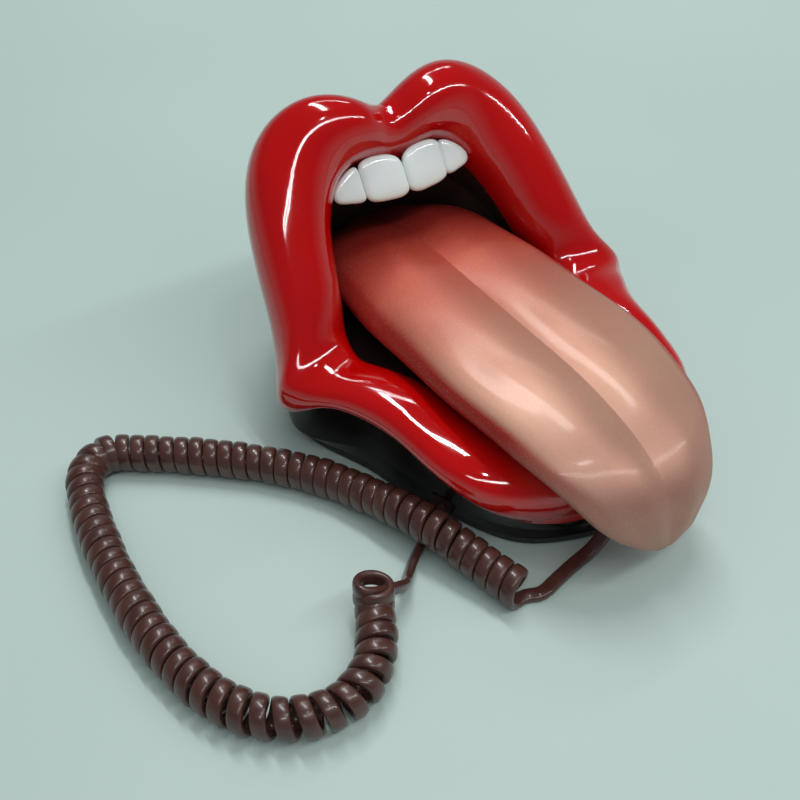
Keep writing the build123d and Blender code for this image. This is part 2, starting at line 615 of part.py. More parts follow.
def cord_tube(route, radius, name):
    """Round tube along straight runs joined by the largest arcs that the runs allow."""
    points = [Vector(*point) for point in route]
    radii = []
    for before, here, after in zip(points, points[1:], points[2:]):
        turn = radians((here - before).get_angle(after - here))
        shorter = min((here - before).length, (after - here).length)
        radii.append(0.45 * shorter / tan(turn / 2))
    with BuildPart() as tube:
        with BuildLine() as path:
            FilletPolyline(*points, radius=radii)
        with BuildSketch(Plane(origin=points[0], z_dir=points[1] - points[0])) as section:
            Circle(radius)
        sweep(path=path.wires()[0])
    length = path.wires()[0].length
    ratio = tube.part.volume / (section.sketch.area * length)
    print(name, "length", round(length, 1), "volume ratio", round(ratio, 4), "valid", tube.part.is_valid)
    print("   radii", [round(r, 1) for r in radii])
    return tube.part


cord_coil = cord_tube(COIL_ROUTE, COIL_RADIUS, "cord_coil")
save(cord_coil, "cord_coil")
cord_lead_base = cord_tube(BASE_LEAD_ROUTE, CORD_RADIUS, "cord_lead_base")
save(cord_lead_base, "cord_lead_base")
cord_lead_handset = cord_tube(HANDSET_LEAD_ROUTE, CORD_RADIUS, "cord_lead_handset")
save(cord_lead_handset, "cord_lead_handset")
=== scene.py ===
from math import cos, pi, radians, sin

import bmesh
import bpy
import numpy as np
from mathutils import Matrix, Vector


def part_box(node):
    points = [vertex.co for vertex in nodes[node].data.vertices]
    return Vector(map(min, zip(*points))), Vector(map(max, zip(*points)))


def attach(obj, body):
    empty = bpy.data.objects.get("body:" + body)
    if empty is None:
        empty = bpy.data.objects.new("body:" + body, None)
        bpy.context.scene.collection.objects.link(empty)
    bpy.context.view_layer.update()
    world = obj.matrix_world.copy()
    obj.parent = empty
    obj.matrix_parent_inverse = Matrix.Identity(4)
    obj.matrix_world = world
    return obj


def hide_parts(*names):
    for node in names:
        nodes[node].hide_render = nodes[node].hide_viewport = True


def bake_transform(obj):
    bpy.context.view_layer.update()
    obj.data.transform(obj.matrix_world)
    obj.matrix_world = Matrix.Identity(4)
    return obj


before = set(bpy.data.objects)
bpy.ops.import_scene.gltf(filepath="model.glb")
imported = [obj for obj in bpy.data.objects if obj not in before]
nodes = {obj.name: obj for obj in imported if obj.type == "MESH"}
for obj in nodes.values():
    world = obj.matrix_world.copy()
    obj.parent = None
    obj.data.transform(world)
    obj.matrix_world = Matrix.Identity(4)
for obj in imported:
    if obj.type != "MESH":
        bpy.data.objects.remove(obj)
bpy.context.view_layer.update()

scene = bpy.context.scene
MM = 0.001

# ---------------------------------------------------------------- camera
camera_data = bpy.data.cameras.new("camera")
camera_data.lens = 51.66
camera_data.sensor_width = 36
camera_data.clip_start = 0.01
camera = bpy.data.objects.new("camera", camera_data)
camera.location = (-0.2004, -0.2527, 0.2855)
camera.rotation_euler = (radians(90 - 41.0), 0, radians(-32.8))
scene.collection.objects.link(camera)
scene.camera = camera


# ---------------------------------------------------------------- curves and meshes
def unit(vectors):
    """Vectors scaled to a length of one."""
    vectors = np.asarray(vectors, float)
    return vectors / np.linalg.norm(vectors, axis=-1, keepdims=True)


def nurbs_line(points):
    """Points along the smooth cord line that a route's points control."""
    curve = bpy.data.curves.new("route", "CURVE")
    curve.dimensions = "3D"
    spline = curve.splines.new("NURBS")
    spline.points.add(len(points) - 1)
    for point, place in zip(spline.points, points):
        point.co = (*place, 1)
    spline.order_u = 3
    spline.use_endpoint_u = True
    spline.resolution_u = 16
    holder = bpy.data.objects.new("route", curve)
    mesh = bpy.data.meshes.new_from_object(holder)
    line = np.array([vertex.co for vertex in mesh.vertices])
    bpy.data.objects.remove(holder)
    bpy.data.curves.remove(curve)
    bpy.data.meshes.remove(mesh)
    return line


def along(line):
    """Distance along a line at each of its points."""
    return np.concatenate([[0], np.cumsum(np.linalg.norm(np.diff(line, axis=0), axis=1))])


def evenly(line, step):
    """The same line with its points a step apart."""
    at = along(line)
    count = max(2, round(at[-1] / step) + 1)
    wanted = np.linspace(0, at[-1], count)
    return np.stack([np.interp(wanted, at, line[:, axis]) for axis in range(3)], axis=1)


def tangents(line):
    """Unit direction of a line at each of its points."""
    return unit(np.gradient(line, axis=0))


def cubic(rows, steps, closed=False):
    """Smooth cubic curves through rows of points, with steps new rows between each pair."""
    rows = np.asarray(rows, float)
    if closed:
        rows = np.concatenate([rows[-4:], rows, rows[:5]])
    count = len(rows)
    gaps = np.linalg.norm(np.diff(rows, axis=0), axis=2).mean(axis=1)
    gaps = np.maximum(gaps, 1e-9)
    matrix = np.zeros((count, count))
    right = np.zeros(rows.shape)
    slopes = np.diff(rows, axis=0) / gaps[:, None, None]
    matrix[0, :2] = 2, 1
    matrix[-1, -2:] = 1, 2
    right[0] = 3 * slopes[0]
    right[-1] = 3 * slopes[-1]
    for i in range(1, count - 1):
        matrix[i, i - 1 : i + 2] = gaps[i], 2 * (gaps[i - 1] + gaps[i]), gaps[i - 1]
        right[i] = 3 * (gaps[i] * slopes[i - 1] + gaps[i - 1] * slopes[i])
    lean = np.linalg.solve(matrix, right.reshape(count, -1)).reshape(rows.shape)
    made = []
    first, last = (4, count - 5) if closed else (0, count - 1)
    for i in range(first, last):
        for t in np.arange(steps) / steps:
            a = (2 * t**3 - 3 * t**2 + 1) * rows[i] + (3 * t**2 - 2 * t**3) * rows[i + 1]
            b = (t**3 - 2 * t**2 + t) * lean[i] + (t**3 - t**2) * lean[i + 1]
            made.append(a + gaps[i] * b)
    if not closed:
        made.append(rows[-1])
    return np.array(made)


def make_object(name, points, faces, smooth=True, sharp=None):
    """A mesh object from points in metres, with its faces turned outwards."""
    mesh = bpy.data.meshes.new(name)
    mesh.from_pydata([tuple(p) for p in points], [], faces)
    work = bmesh.new()
    work.from_mesh(mesh)
    bmesh.ops.recalc_face_normals(work, faces=work.faces)
    work.to_mesh(mesh)
    work.free()
    mesh.update()
    if smooth:
        mesh.polygons.foreach_set("use_smooth", [True] * len(mesh.polygons))
    if sharp:
        mesh.set_sharp_from_angle(angle=radians(sharp))
    made = bpy.data.objects.new(name, mesh)
    scene.collection.objects.link(made)
    return made


def grid_faces(rows, columns, closed_columns=False, flip=False):
    """Faces between neighbouring rows of points."""
    faces = []
    for i in range(rows - 1):
        for j in range(columns if closed_columns else columns - 1):
            m = (j + 1) % columns
            face = (i * columns + j, i * columns + m, (i + 1) * columns + m, (i + 1) * columns + j)
            faces.append(face[::-1] if flip else face)
    return faces


# ---------------------------------------------------------------- cord
WIRE_WIDTH = 4.9 * MM
WIRE_THICKNESS = 2.7 * MM
COIL_RADIUS = 5.15 * MM
PITCH = 5.25 * MM
TURN_POINTS = 30
PART_TURN = 0.36  # the part of a turn that the coil ends with
AXIS_STEP = 0.2 * MM
LEAD_STEP = 0.6 * MM
FLOOR_GAP = 0.0001
LEAD_START = 3.2 * MM  # how far a lead goes straight on from the coil

COIL_ROUTE = [
    (-0.044, -0.079, 0.0066),
    (-0.0485, -0.064, 0.0078),
    (-0.053, -0.0505, 0.0112),
    (-0.0576, -0.0355, 0.0112),
    (-0.0625, -0.020, 0.0080),
    (-0.070, -0.003, 0.0066),
    (-0.084, 0.014, 0.0066),
    (-0.103, 0.031, 0.0066),
    (-0.1185, 0.0425, 0.0066),
    (-0.1285, 0.0495, 0.0066),
    (-0.1375, 0.0455, 0.0066),
    (-0.142, 0.036, 0.0066),
    (-0.146, 0.015, 0.0066),
    (-0.148, -0.012, 0.0066),
    (-0.147, -0.042, 0.0066),
    (-0.141, -0.066, 0.0066),
    (-0.129, -0.081, 0.0066),
    (-0.112, -0.086, 0.0066),
    (-0.098, -0.080, 0.0066),
    (-0.090, -0.069, 0.0066),
    (-0.0865, -0.0615, 0.0075),
    (-0.0848, -0.0585, 0.0105),
    (-0.0845, -0.0580, 0.0145),
]
BASE_LEAD = [
    (-0.0735, -0.0585, 0.0070),
    (-0.0705, -0.0545, 0.0026),
    (-0.0655, -0.0495, 0.0018),
    (-0.0600, -0.0450, 0.0018),
    (-0.0540, -0.0412, 0.0022),
    (-0.0491, -0.0378, 0.0059),
    (-0.0443, -0.0358, 0.0059),
]
HANDSET_LEAD = [
    (-0.0365, -0.0812, 0.0018),
    (-0.0290, -0.0790, 0.0018),
    (-0.0205, -0.0769, 0.0018),
    (-0.0140, -0.0764, 0.0030),
    (-0.0090, -0.0764, 0.0070),
    (-0.0050, -0.0760, 0.0120),
    (0.0, -0.0757, 0.0179),
    (0.0, -0.0800, 0.0223),
]


def carried(line, first):
    """A direction carried along a line without twisting."""
    ways = tangents(line)
    made = [unit(first - np.dot(first, ways[0]) * ways[0])]
    for way in ways[1:]:
        made.append(unit(made[-1] - np.dot(made[-1], way) * way))
    return np.array(made)


axis_line = evenly(nurbs_line(COIL_ROUTE), AXIS_STEP)
axis_at = along(axis_line)
axis_ways = tangents(axis_line)
axis_up = carried(axis_line, np.array([0.0, 0.0, 1.0]))
axis_side = np.cross(axis_ways, axis_up)

# The turns lie close, open a little before the coil's far end and press together at that end
openness = np.interp(axis_at, [0, 0.24, 0.30, 0.345, axis_at[-1]], [1, 1, 1.22, 1.15, 0.72])
turning = np.concatenate([[0], np.cumsum(np.diff(axis_at) / (PITCH * openness[1:]))])
turns = round(turning[-1] + 0.5 - PART_TURN) + PART_TURN
turning *= turns / turning[-1]
places = np.arange(0, turns, 1 / TURN_POINTS)
at = np.interp(places, turning, axis_at)


def read(values):
    """Values along the coil's axis at each point of the wire."""
    return np.stack([np.interp(at, axis_at, values[:, k]) for k in range(3)], axis=1)


angle = 2 * pi * places + pi
# The turns differ a little in size
uneven = 1 + 0.03 * np.sin(places * 2.1) + 0.02 * np.sin(places * 0.83 + 1)
spokes = unit(np.cos(angle)[:, None] * read(axis_up) + np.sin(angle)[:, None] * read(axis_side))
helix = read(axis_line) + spokes * (COIL_RADIUS * uneven)[:, None]
helix[:, 2] = np.maximum(helix[:, 2], 0.5 * WIRE_THICKNESS)


def lead(start, way, points, edge):
    """A lead from the coil's end, and its section's wide direction all along it."""
    first = start + way * LEAD_START
    line = evenly(nurbs_line([tuple(start), tuple(first), *points]), LEAD_STEP)
    return line[1:], carried(line, edge)[1:]


helix_ways = tangents(helix)
edges = unit(np.cross(helix_ways, spokes))
base_line, base_edges = lead(helix[-1], helix_ways[-1], BASE_LEAD, edges[-1])
hand_line, hand_edges = lead(helix[0], -helix_ways[0], HANDSET_LEAD, edges[0])

wire = np.concatenate([hand_line[::-1], helix, base_line])
wide = np.concatenate([hand_edges[::-1], edges, base_edges])
wire_ways = tangents(wire)
wide = unit(wide - (wide * wire_ways).sum(axis=1, keepdims=True) * wire_ways)
thin = np.cross(wire_ways, wide)

# The wire's section is a rectangle with well rounded corners
ROUND = 16
ring_angles = np.arange(ROUND) * 2 * pi / ROUND
ring_x = np.cos(ring_angles)
ring_y = np.sin(ring_angles)
across = np.sign(ring_x) * np.abs(ring_x) ** 0.62 * WIRE_WIDTH / 2
deep = np.sign(ring_y) * np.abs(ring_y) ** 0.72 * WIRE_THICKNESS / 2
skin = wire[:, None] + wide[:, None] * across[None, :, None] + thin[:, None] * deep[None, :, None]
skin[:, :, 2] = np.maximum(skin[:, :, 2], FLOOR_GAP)
cord_faces = grid_faces(len(wire), ROUND, closed_columns=True)
cord_faces.append(tuple(range(ROUND))[::-1])
cord_faces.append(tuple(range((len(wire) - 1) * ROUND, len(wire) * ROUND)))
cord = make_object("curly_cord", skin.reshape(-1, 3), cord_faces)
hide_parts("cord_coil", "cord_lead_base", "cord_lead_handset")
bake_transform(cord)


# ---------------------------------------------------------------- teeth
TOOTH_UP = np.array([0, 0.555, 0.832])
MIDDLE_TOOTH = [
    (0.12, 1.8), (0.5, -1.2), (2.3, -2.5), (8, -2.8), (14, -2.1), (16.7, -0.6), (17.3, 3),
    (17.25, 8.5), (16.7, 12.1), (13.8, 13.6), (8.5, 13.8), (4, 12.9), (1.0, 10.7), (0.12, 7),
]
OUTER_TOOTH = [
    (0.15, 1.5), (0.5, -0.6), (2, -1.5), (6, -1.5), (9.8, -1.1), (11.6, -0.1), (12.1, 1.6),
    (10.8, 4.5), (8.3, 7.3), (5.3, 9.7), (2.8, 11.1), (1.0, 11.3), (0.2, 9.3), (0.12, 5.5),
]
# How far each ring of a tooth lies out from its middle, and forward of its flat face
TOOTH_RINGS = [(0.86, -4.0), (0.96, -2.2), (1.0, -0.9), (0.985, -0.1), (0.94, 0.45), (0.86, 0.85),
               (0.72, 1.15), (0.5, 1.35), (0.25, 1.45)]


def tooth(outline, corner, right, side):
    """Points and faces of one rounded tooth; side is -1 for the mirrored half."""
    right = unit(np.array(right))
    forward = np.cross(right, TOOTH_UP)
    loop = cubic([[(x, y, 0)] for x, y in outline], 5, closed=True)[:, 0]
    middle = loop.mean(axis=0)
    points = []
    for spread, proud in TOOTH_RINGS:
        for x, y, _ in middle + (loop - middle) * spread:
            points.append(corner + right * x + TOOTH_UP * y + forward * proud)
    count = len(loop)
    points.append(corner + right * middle[0] + TOOTH_UP * middle[1] + forward * TOOTH_RINGS[-1][1])
    points = np.array(points) * MM * (side, 1, 1)
    faces = grid_faces(len(TOOTH_RINGS), count, closed_columns=True, flip=side < 0)
    last = (len(TOOTH_RINGS) - 1) * count
    for k in range(count):
        face = (last + k, last + (k + 1) % count, len(points) - 1)
        faces.append(face[::-1] if side < 0 else face)
    back = tuple(range(count))
    faces.append(back if side < 0 else back[::-1])
    return points, faces


tooth_points = []
tooth_faces = []
for side in (1, -1):
    for outline, corner, right in (
        (MIDDLE_TOOTH, (0, 51.5, 71.4), (1, 0.05, 0)),
        (OUTER_TOOTH, (17.15, 53.0, 71.5), (1, 0.24, 0.03)),
    ):
        points, faces = tooth(outline, np.array(corner), right, side)
        shift = len(tooth_points)
        tooth_points += list(points)
        tooth_faces += [tuple(k + shift for k in face) for face in faces]
# The bar behind the teeth that joins them into one moulding
BAR_HALF = 25
BAR_SECTION = [(55.4, 73.2), (57.0, 71.9), (59.0, 75.6), (57.4, 76.9)]
bar = [(x, y, z) for x in (-BAR_HALF, BAR_HALF) for y, z in BAR_SECTION]
bar_faces = [(0, 1, 2, 3), (7, 6, 5, 4), (0, 4, 5, 1), (1, 5, 6, 2), (2, 6, 7, 3), (3, 7, 4, 0)]
shift = len(tooth_points)
tooth_points += [np.array(p) * MM for p in bar]
tooth_faces += [tuple(k + shift for k in face) for face in bar_faces]
teeth = make_object("teeth", tooth_points, tooth_faces, sharp=50)
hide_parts("teeth_strip")
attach(teeth, "base")

# ---------------------------------------------------------------- tongue
# Stations from root to tip: half width, widest line's Y and Z, tilt, rise above it, depth below it
TONGUE = [
    (9, 80.4, 41.5, 0, 2.8, 3),
    (18, 77.6, 42, 0, 4.2, 6),
    (28, 70.5, 42.5, 0, 6.1, 7.7),
    (34, 61, 43, 0, 7.8, 8.5),
    (37, 41, 43.5, 0, 9.5, 9),
    (39, 21, 44.5, 0, 9.1, 10),
    (39, -4, 46, 0, 7.6, 11.5),
    (39, -29, 47.5, 0, 5.9, 13),
    (37.3, -46, 47, 9, 5.9, 12.2),
    (35.3, -59, 44.9, 23, 6.4, 11),
    (32.3, -71, 41.6, 37, 6.7, 9.6),
    (28, -79.5, 36.3, 47, 8, 8.8),
    (22, -88, 28.5, 52, 7.1, 9),
    (16, -92, 23, 60, 4, 8),
    (9.5, -95, 18.8, 62, 1.4, 6.5),
    (4, -95.4, 16, 64, 0.7, 3.5),
]
PARTING = 1.35  # how far below the widest line the upper shell ends
TIP_START = -94  # in front of this the upper shell wraps round the tip
TIP_PARTING = 3.4  # the same distance at the tip
WALL = 2.4
# The crease down the middle fades out towards both of its ends
CREASE_FRONT = -88
CREASE_BACK = 36
CREASE_FADE = 26
CREASE_DEPTH = 1.5
CREASE_WIDTH = 5.5
CROWN = 0.5  # how much the middle rises where it is creased
SMOOTH_TIP_ROWS = 17  # rows at the tip that have no sharp crease
ROWS_BETWEEN = 8  # rows of points from one station to the next
# Where the points of a half row lie along it, closest at the crease and at the parting line
CREASE_COLUMNS = [
    0, 0.012, 0.03, 0.055, 0.09, 0.14, 0.2, 0.27, 0.35, 0.44,
    0.53, 0.62, 0.7, 0.78, 0.84, 0.89, 0.93, 0.965, 0.985, 1.0,
]


def tongue_row(half, y, z, tilt, rise, depth):
    """Upper half-section of one station, from the crease to the parting line, in its own plane."""
    lobe = min(1.4, 0.3 * rise)
    side = [
        (-0.35 * half, rise + lobe),
        (0, rise),
        (0.35 * half, rise + lobe),
        (0.66 * half, 0.93 * rise),
        (0.88 * half, 0.6 * rise),
        (half, 0),
        (0.91 * half, -0.5 * depth),
        (0.7 * half, -0.87 * depth),
        (0.44 * half, -depth),
        (0, -depth),
        (-0.44 * half, -depth),
    ]
    steps = [np.hypot(b[0] - a[0], b[1] - a[1]) for a, b in zip(side, side[1:])]
    gaps = np.concatenate([[0], np.cumsum(steps)])
    fine = cubic_1d(gaps, side, 60)
    fine = fine[fine[:, 2] >= gaps[1] - 1e-9]
    drop = PARTING * cos(radians(tilt)) if y > TIP_START else TIP_PARTING
    fine = fine[: np.argmax(fine[:, 1] < -drop)]
    length = along(np.column_stack([fine[:, :2], np.zeros(len(fine))]))
    wanted = np.array(CREASE_COLUMNS) * length[-1]
    return np.column_stack([np.interp(wanted, length, fine[:, k]) for k in (0, 1)])


def cubic_1d(at, points, steps):
    """Natural cubic through plane points at uneven places; the last column is the place."""
    points = np.array(points, float)
    count = len(points)
    gap = np.diff(at)
    matrix = np.zeros((count, count))
    right = np.zeros((count, 2))
    slope = np.diff(points, axis=0) / gap[:, None]
    matrix[0, :2] = 2, 1
    matrix[-1, -2:] = 1, 2
    right[0] = 3 * slope[0]
    right[-1] = 3 * slope[-1]
    for i in range(1, count - 1):
        matrix[i, i - 1 : i + 2] = gap[i], 2 * (gap[i - 1] + gap[i]), gap[i - 1]
        right[i] = 3 * (gap[i] * slope[i - 1] + gap[i - 1] * slope[i])
    lean = np.linalg.solve(matrix, right)
    made = []
    for i in range(count - 1):
        t = np.linspace(0, 1, steps, endpoint=False)[:, None]
        a = (2 * t**3 - 3 * t**2 + 1) * points[i] + (3 * t**2 - 2 * t**3) * points[i + 1]
        b = (t**3 - 2 * t**2 + t) * lean[i] + (t**3 - t**2) * lean[i + 1]
        made.append(np.column_stack([a + gap[i] * b, at[i] + t[:, 0] * gap[i]]))
    return np.concatenate(made)


def tongue_skin(inset):
    """Rows of points of the tongue's upper skin, right side then mirrored, from root to tip."""
    rows = []
    for half, y, z, tilt, rise, depth in TONGUE:
        row = tongue_row(half, y, z, tilt, rise, depth)
        from_end = min(y - CREASE_FRONT, CREASE_BACK - y)
        fade = min(max(from_end / CREASE_FADE, 0), 1)
        x = row[:, 0]
        crease = CREASE_DEPTH * np.exp(-np.abs(x) / CREASE_WIDTH)
        lift = CROWN * (1 - (x / half) ** 2) - crease
        height = row[:, 1] + fade * np.clip(lift, -2, 2) * (row[:, 1] > 0)
        scale = 1 - inset / half
        x = x * scale
        height = height - inset * np.clip((height + 1) / 4, 0, 1)
        lean = radians(tilt)
        place = np.column_stack([x, y - height * sin(lean), z + height * cos(lean)])
        mirrored = place[1:][::-1] * (-1, 1, 1)
        rows.append(np.concatenate([mirrored, place]))
    return cubic(rows, ROWS_BETWEEN)


outer_skin = tongue_skin(0) * MM
inner_skin = tongue_skin(WALL)[ROWS_BETWEEN:-ROWS_BETWEEN] * MM
columns = outer_skin.shape[1]
skin_rows = len(outer_skin)
inner_rows = len(inner_skin)
inner_start = skin_rows * columns
outer_faces = grid_faces(skin_rows, columns)
inner_faces = [
    tuple(k + inner_start for k in face) for face in grid_faces(inner_rows, columns, flip=True)
]


def bridge(one, other):
    """Triangles between two open lines of points."""
    made = []
    i = j = 0
    while i < len(one) - 1 or j < len(other) - 1:
        if j == len(other) - 1 or (i < len(one) - 1 and i * len(other) <= j * len(one)):
            made.append((one[i], other[j], one[i + 1]))
            i += 1
        else:
            made.append((one[i], other[j], other[j + 1]))
            j += 1
    return made


outer_left = [r * columns for r in range(skin_rows)]
outer_right = [r * columns + columns - 1 for r in range(skin_rows)]
inner_left = [inner_start + r * columns for r in range(inner_rows)]
inner_right = [inner_start + r * columns + columns - 1 for r in range(inner_rows)]
inner_root = list(range(inner_start, inner_start + columns))
inner_tip = [k + (inner_rows - 1) * columns for k in inner_root]
rim_faces = bridge(outer_left, inner_left) + bridge(outer_right, inner_right)
rim_faces += bridge([outer_left[0], outer_right[0]], inner_root)
rim_faces += bridge([outer_left[-1], outer_right[-1]], inner_tip)
rim_faces.append(tuple(range(columns)))
rim_faces.append(tuple(range(inner_start - columns, inner_start)))
points = np.concatenate([outer_skin.reshape(-1, 3), inner_skin.reshape(-1, 3)])
tongue = make_object("tongue_upper", points, outer_faces + inner_faces + rim_faces)
middle_column = columns // 2
creased_rows = range(3 * ROWS_BETWEEN, skin_rows - SMOOTH_TIP_ROWS)
crease = [(r * columns + middle_column, (r + 1) * columns + middle_column) for r in creased_rows]
outer_root = list(range(columns))
outer_tip = [k + (skin_rows - 1) * columns for k in outer_root]
sharp_edges = set(crease)
for line in (
    outer_left, outer_right, inner_left, inner_right, inner_root, inner_tip, outer_root, outer_tip,
):
    sharp_edges |= {tuple(sorted(pair)) for pair in zip(line, line[1:])}
for edge in tongue.data.edges:
    edge.use_edge_sharp = tuple(sorted(edge.vertices)) in sharp_edges
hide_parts("tongue_top")
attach(tongue, "handset")

# ---------------------------------------------------------------- marks on the keys
KEY_MARKS = {
    "1": "1", "2": "2", "3": "3", "4": "4", "5": "5", "6": "6", "7": "7", "8": "8", "9": "9",
    "star": "*", "0": "0", "hash": "#", "redial": "=", "flash": "-",
}
MARK_HEIGHT = 5.2 * MM
MARK_RAISED = 0.04 * MM
marks = []
for key_name, mark in KEY_MARKS.items():
    low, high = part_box(f"key_{key_name}")
    text = bpy.data.curves.new(f"mark_{key_name}", "FONT")
    text.body = mark
    text.size = MARK_HEIGHT
    text.align_x = "CENTER"
    text.align_y = "CENTER"
    text.extrude = MARK_RAISED
    holder = bpy.data.objects.new("mark", text)
    mesh = bpy.data.meshes.new_from_object(holder)
    bpy.data.objects.remove(holder)
    points = np.array([vertex.co for vertex in mesh.vertices])
    faces = [tuple(polygon.vertices) for polygon in mesh.polygons]
    bpy.data.meshes.remove(mesh)
    middle = (points.min(axis=0) + points.max(axis=0)) / 2
    key_middle = ((low[0] + high[0]) / 2, (low[1] + high[1]) / 2, low[2])
    points = (points - middle) * (-1, 1, 1) + key_middle
    piece = make_object(f"mark_{key_name}", points, faces, smooth=False)
    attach(piece, f"key_{key_name}")
    marks.append(piece)


# ---------------------------------------------------------------- materials
class Finish:
    """A material and short ways to add nodes to it."""

    def __init__(self, name, **sockets):
        self.material = bpy.data.materials.new(name)
        self.material.use_nodes = True
        self.tree = self.material.node_tree
        self.shader = self.tree.nodes["Principled BSDF"]
        self.place = self.add("ShaderNodeTexCoord").outputs["Object"]
        for socket, value in sockets.items():
            self.shader.inputs[socket.replace("_", " ")].default_value = value

    def add(self, kind, inputs=None, **settings):
        node = self.tree.nodes.new(kind)
        for key, value in settings.items():
            setattr(node, key, value)
        for key, value in (inputs or {}).items():
            self.feed(node.inputs[key], value)
        return node

    def feed(self, socket, value):
        if isinstance(value, bpy.types.NodeSocket):
            self.tree.links.new(value, socket)
        else:
            socket.default_value = value

    def noise(self, scale, detail=3.0, stretch=None):
        place = self.place
        if stretch:
            place = self.add("ShaderNodeMapping", {"Vector": place, "Scale": stretch}).outputs[0]
        inputs = {"Vector": place, "Scale": scale, "Detail": detail}
        return self.add("ShaderNodeTexNoise", inputs).outputs[0]

    def spread(self, value, low, high, start=0.0, end=1.0, smooth=False):
        inputs = {"Value": value, "From Min": low, "From Max": high, "To Min": start, "To Max": end}
        kind = "SMOOTHSTEP" if smooth else "LINEAR"
        return self.add("ShaderNodeMapRange", inputs, interpolation_type=kind).outputs[0]

    def math(self, operation, a, b):
        return self.add("ShaderNodeMath", {0: a, 1: b}, operation=operation).outputs[0]

    def mix(self, factor, a, b):
        node = self.add("ShaderNodeMix", {0: factor}, data_type="RGBA")
        for socket, value in ((node.inputs[6], a), (node.inputs[7], b)):
            self.feed(socket, (*value, 1) if isinstance(value, tuple) else value)
        return node.outputs[2]

    def ramp(self, factor, stops):
        node = self.add("ShaderNodeValToRGB", {0: factor})
        while len(node.color_ramp.elements) < len(stops):
            node.color_ramp.elements.new(0.5)
        for element, (at, color) in zip(node.color_ramp.elements, stops):
            element.position = at
            element.color = (*color, 1)
        return node.outputs[0]

    def colour(self, value):
        self.feed(self.shader.inputs["Base Color"], value)

    def rough(self, value):
        self.feed(self.shader.inputs["Roughness"], value)

    def bump(self, height, depth):
        inputs = {"Height": height, "Distance": depth, "Strength": 1.0}
        self.feed(self.shader.inputs["Normal"], self.add("ShaderNodeBump", inputs).outputs[0])


def plastic(name, light, dark, rough, patch=30, peel=(0, 0), **sockets):
    """Moulded plastic or rubber: uneven colour and gloss, and a fine surface texture."""
    made = Finish(name, **sockets)
    patches = made.noise(patch, 2)
    made.colour(made.mix(made.spread(patches, 0.35, 0.65), dark, light))
    made.rough(made.spread(made.noise(patch * 2.3, 4), 0.3, 0.7, rough[0], rough[1]))
    if peel[0]:
        made.bump(made.noise(peel[0], 2), peel[1] * MM)
    return made


def metal(name, light, dark, rough, grain, depth, stretch=None):
    """Bare metal with brushed, cast or pressed grain."""
    made = Finish(name, Metallic=1.0)
    lines = made.noise(grain, 4, stretch)
    made.colour(made.mix(made.spread(lines, 0.3, 0.7), dark, light))
    made.rough(made.spread(lines, 0.3, 0.7, rough[0], rough[1]))
    made.bump(lines, depth * MM)
    return made


red = plastic(
    "red_gloss", (0.55, 0.002, 0.002), (0.48, 0.0015, 0.0015), (0.05, 0.12), 22, (55, 0.03),
    Coat_Weight=0.9, Coat_Roughness=0.02,
)
black = plastic(
    "black_gloss", (0.008, 0.0055, 0.005), (0.005, 0.0035, 0.0035), (0.12, 0.24), 25, (60, 0.02),
    Specular_IOR_Level=0.22,
)
cavity = plastic(
    "cavity_gloss", (0.06, 0.034, 0.03), (0.045, 0.025, 0.022), (0.15, 0.3), 25, (60, 0.02),
    Coat_Weight=0.3, Coat_Roughness=0.05,
)
matt = plastic(
    "black_matt", (0.03, 0.03, 0.03), (0.02, 0.02, 0.02), (0.45, 0.6), 60, (2600, 0.012)
)
rubber = plastic(
    "foot_rubber", (0.024, 0.023, 0.022), (0.016, 0.016, 0.016), (0.7, 0.9), 90, (1800, 0.03)
)
silicone = plastic(
    "silicone", (0.22, 0.22, 0.23), (0.18, 0.18, 0.19), (0.5, 0.65), 90, (1500, 0.02)
)
keycap = plastic(
    "key_cream", (0.72, 0.66, 0.54), (0.66, 0.6, 0.48), (0.22, 0.34), 120, (900, 0.01),
    Coat_Weight=0.2,
)
ink = plastic("key_mark", (0.02, 0.02, 0.022), (0.015, 0.015, 0.016), (0.35, 0.5), 150)
plug = plastic(
    "plug_smoke", (0.05, 0.026, 0.022), (0.035, 0.018, 0.015), (0.08, 0.16), 150, (300, 0.01),
    Coat_Weight=0.6,
)
jacket = plastic(
    "cord_brown", (0.084, 0.031, 0.023), (0.06, 0.021, 0.016), (0.3, 0.42), 160, (700, 0.02),
    Coat_Weight=0.5, Coat_Roughness=0.12,
)
green = plastic(
    "board_green", (0.03, 0.12, 0.05), (0.02, 0.075, 0.035), (0.3, 0.45), 260, (1200, 0.02)
)
steel = metal(
    "screw_steel", (0.62, 0.62, 0.64), (0.5, 0.5, 0.52), (0.25, 0.4), 900, 0.01, (1, 1, 0.2)
)
iron = metal("weight_iron", (0.3, 0.3, 0.31), (0.2, 0.2, 0.2), (0.5, 0.75), 700, 0.08)
can = metal("capsule_can", (0.7, 0.7, 0.72), (0.6, 0.6, 0.62), (0.28, 0.4), 500, 0.01)

# Teeth: cool glossy white that warms towards the biting edge
BITING_EDGE_Z = 0.069
TOOTH_TOP_Z = 0.0765
white = Finish(
    "tooth_white",
    Coat_Weight=0.8, Coat_Roughness=0.03, Subsurface_Weight=0.12, Subsurface_Scale=0.004,
)
height = white.add("ShaderNodeSeparateXYZ", {0: white.place}).outputs[2]
TOOTH_STOPS = [(0, (0.86, 0.8, 0.68)), (0.5, (0.88, 0.93, 0.89)), (1, (0.89, 0.96, 0.95))]
shade = white.ramp(white.spread(height, BITING_EDGE_Z, TOOTH_TOP_Z), TOOTH_STOPS)
patches = white.spread(white.noise(120, 3), 0.3, 0.75, 0, 0.25)
white.colour(white.mix(patches, shade, (0.8, 0.87, 0.85)))
white.rough(white.spread(white.noise(90, 3), 0.3, 0.7, 0.08, 0.16))
white.bump(white.noise(220, 2), 0.02 * MM)

